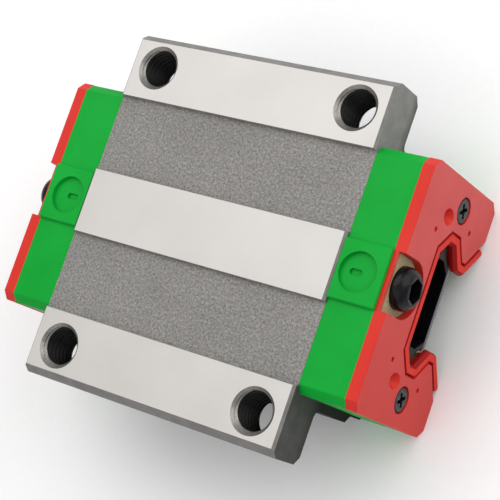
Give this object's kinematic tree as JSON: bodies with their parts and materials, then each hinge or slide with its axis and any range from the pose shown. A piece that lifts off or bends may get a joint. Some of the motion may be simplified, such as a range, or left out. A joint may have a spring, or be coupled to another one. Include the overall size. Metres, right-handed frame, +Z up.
{
  "type": "linear guide carriage",
  "caption": "Flanged linear guide carriage: a steel block with tapped flanges, recirculating balls, plastic end caps and seals; it slides along a profile rail.",
  "frame": {"origin": "centre of the bounding box's bottom face, under the middle of the block", "axes": "+X along the rail, towards the front end cap; +Y across the rail; +Z up, out of the machined top face"},
  "size_m": [0.0846, 0.07, 0.0305],
  "materials": {
    "block_steel": "cast grey with ground pads",
    "green_plastic": "satin moulded",
    "red_plastic": "satin moulded",
    "red_rubber": "matt",
    "black_rubber": "matt",
    "black_screw_steel": "black zinc",
    "black_oxide_steel": "black oxide",
    "tan_fibre": "matt",
    "ball_steel": "polished",
    "black_plastic": "satin moulded",
    "ivory_plastic": "satin moulded",
    "retainer_plastic": "satin moulded"
  },
  "bodies": {
    "carriage": {"bottom_seal_left": "black_rubber", "bottom_seal_right": "black_rubber", "cap_screws_front": "black_screw_steel", "cap_screws_rear": "black_screw_steel", "carriage_block": "block_steel", "end_cap_front": "green_plastic", "end_cap_rear": "green_plastic", "end_seal_plate_front": "red_plastic", "end_seal_plate_rear": "red_plastic", "grease_plug_front": "black_oxide_steel", "grease_plug_rear": "black_oxide_steel", "lower_retainer_left": "retainer_plastic", "lower_retainer_right": "retainer_plastic", "middle_retainer_left": "retainer_plastic", "middle_retainer_right": "retainer_plastic", "port_gasket_front": "tan_fibre", "port_gasket_rear": "tan_fibre", "return_guide_lower_left_front": "ivory_plastic", "return_guide_lower_left_rear": "ivory_plastic", "return_guide_lower_right_front": "ivory_plastic", "return_guide_lower_right_rear": "ivory_plastic", "return_guide_upper_left_front": "ivory_plastic", "return_guide_upper_left_rear": "ivory_plastic", "return_guide_upper_right_front": "ivory_plastic", "return_guide_upper_right_rear": "ivory_plastic", "return_tube_lower_left": "ivory_plastic", "return_tube_lower_right": "ivory_plastic", "return_tube_upper_left": "ivory_plastic", "return_tube_upper_right": "ivory_plastic", "seal_lip_front": "red_rubber", "seal_lip_rear": "red_rubber", "top_retainer": "retainer_plastic"},
    "dummy_rail": {"dummy_rail": "black_plastic"},
    "load_row_upper_left": {"load_balls_upper_left": "ball_steel"},
    "return_row_upper_left": {"return_balls_upper_left": "ball_steel"},
    "turn_upper_left_front": {"turn_balls_upper_left_front": "ball_steel"},
    "turn_upper_left_rear": {"turn_balls_upper_left_rear": "ball_steel"},
    "load_row_upper_right": {"load_balls_upper_right": "ball_steel"},
    "return_row_upper_right": {"return_balls_upper_right": "ball_steel"},
    "turn_upper_right_front": {"turn_balls_upper_right_front": "ball_steel"},
    "turn_upper_right_rear": {"turn_balls_upper_right_rear": "ball_steel"},
    "load_row_lower_left": {"load_balls_lower_left": "ball_steel"},
    "return_row_lower_left": {"return_balls_lower_left": "ball_steel"},
    "turn_lower_left_front": {"turn_balls_lower_left_front": "ball_steel"},
    "turn_lower_left_rear": {"turn_balls_lower_left_rear": "ball_steel"},
    "load_row_lower_right": {"load_balls_lower_right": "ball_steel"},
    "return_row_lower_right": {"return_balls_lower_right": "ball_steel"},
    "turn_lower_right_front": {"turn_balls_lower_right_front": "ball_steel"},
    "turn_lower_right_rear": {"turn_balls_lower_right_rear": "ball_steel"}
  },
  "joints": [
    {"name": "dummy_rail_slide", "type": "slide", "parent": "carriage", "child": "dummy_rail", "axis": [1, 0, 0], "range_m": [-0.088, 0.088]},
    {"name": "load_row_slide_upper_left", "type": "slide", "parent": "carriage", "child": "load_row_upper_left", "axis": [1, 0, 0], "range_m": [-0.00242, 0.00242]},
    {"name": "return_row_slide_upper_left", "type": "slide", "parent": "carriage", "child": "return_row_upper_left", "axis": [1, 0, 0], "range_m": [-0.00243, 0.00243]},
    {"name": "turn_hinge_upper_left_front", "type": "hinge", "parent": "carriage", "child": "turn_upper_left_front", "pos_m": [0.029, 0.01457, 0.01951], "axis": [0, -0.6691, 0.7431], "range_deg": [-30.2, 30.2]},
    {"name": "turn_hinge_upper_left_rear", "type": "hinge", "parent": "carriage", "child": "turn_upper_left_rear", "pos_m": [-0.029, 0.01457, 0.01951], "axis": [0, -0.6691, 0.7431], "range_deg": [-30.2, 30.2]},
    {"name": "load_row_slide_upper_right", "type": "slide", "parent": "carriage", "child": "load_row_upper_right", "axis": [1, 0, 0], "range_m": [-0.00242, 0.00242]},
    {"name": "return_row_slide_upper_right", "type": "slide", "parent": "carriage", "child": "return_row_upper_right", "axis": [1, 0, 0], "range_m": [-0.00243, 0.00243]},
    {"name": "turn_hinge_upper_right_front", "type": "hinge", "parent": "carriage", "child": "turn_upper_right_front", "pos_m": [0.029, -0.01457, 0.01951], "axis": [0, -0.6691, -0.7431], "range_deg": [-30.2, 30.2]},
    {"name": "turn_hinge_upper_right_rear", "type": "hinge", "parent": "carriage", "child": "turn_upper_right_rear", "pos_m": [-0.029, -0.01457, 0.01951], "axis": [0, -0.6691, -0.7431], "range_deg": [-30.2, 30.2]},
    {"name": "load_row_slide_lower_left", "type": "slide", "parent": "carriage", "child": "load_row_lower_left", "axis": [1, 0, 0], "range_m": [-0.00242, 0.00242]},
    {"name": "return_row_slide_lower_left", "type": "slide", "parent": "carriage", "child": "return_row_lower_left", "axis": [1, 0, 0], "range_m": [-0.00243, 0.00243]},
    {"name": "turn_hinge_lower_left_front", "type": "hinge", "parent": "carriage", "child": "turn_lower_left_front", "pos_m": [0.029, 0.01548, 0.00758], "axis": [0, 0.3584, 0.9336], "range_deg": [-30.2, 30.2]},
    {"name": "turn_hinge_lower_left_rear", "type": "hinge", "parent": "carriage", "child": "turn_lower_left_rear", "pos_m": [-0.029, 0.01548, 0.00758], "axis": [0, 0.3584, 0.9336], "range_deg": [-30.2, 30.2]},
    {"name": "load_row_slide_lower_right", "type": "slide", "parent": "carriage", "child": "load_row_lower_right", "axis": [1, 0, 0], "range_m": [-0.00242, 0.00242]},
    {"name": "return_row_slide_lower_right", "type": "slide", "parent": "carriage", "child": "return_row_lower_right", "axis": [1, 0, 0], "range_m": [-0.00243, 0.00243]},
    {"name": "turn_hinge_lower_right_front", "type": "hinge", "parent": "carriage", "child": "turn_lower_right_front", "pos_m": [0.029, -0.01548, 0.00758], "axis": [0, 0.3584, -0.9336], "range_deg": [-30.2, 30.2]},
    {"name": "turn_hinge_lower_right_rear", "type": "hinge", "parent": "carriage", "child": "turn_lower_right_rear", "pos_m": [-0.029, -0.01548, 0.00758], "axis": [0, 0.3584, -0.9336], "range_deg": [-30.2, 30.2]}
  ],
  "couplings": [
    {"joint": "return_row_slide_upper_left", "follows": "load_row_slide_upper_left", "ratio": -1},
    {"joint": "turn_hinge_upper_left_front", "follows": "load_row_slide_upper_left", "rad_per_m": 216.66},
    {"joint": "turn_hinge_upper_left_rear", "follows": "load_row_slide_upper_left", "rad_per_m": 216.66},
    {"joint": "return_row_slide_upper_right", "follows": "load_row_slide_upper_right", "ratio": -1},
    {"joint": "turn_hinge_upper_right_front", "follows": "load_row_slide_upper_right", "rad_per_m": 216.66},
    {"joint": "turn_hinge_upper_right_rear", "follows": "load_row_slide_upper_right", "rad_per_m": 216.66},
    {"joint": "return_row_slide_lower_left", "follows": "load_row_slide_lower_left", "ratio": -1},
    {"joint": "turn_hinge_lower_left_front", "follows": "load_row_slide_lower_left", "rad_per_m": 216.66},
    {"joint": "turn_hinge_lower_left_rear", "follows": "load_row_slide_lower_left", "rad_per_m": 216.66},
    {"joint": "return_row_slide_lower_right", "follows": "load_row_slide_lower_right", "ratio": -1},
    {"joint": "turn_hinge_lower_right_front", "follows": "load_row_slide_lower_right", "rad_per_m": 216.66},
    {"joint": "turn_hinge_lower_right_rear", "follows": "load_row_slide_lower_right", "rad_per_m": 216.66}
  ]
}
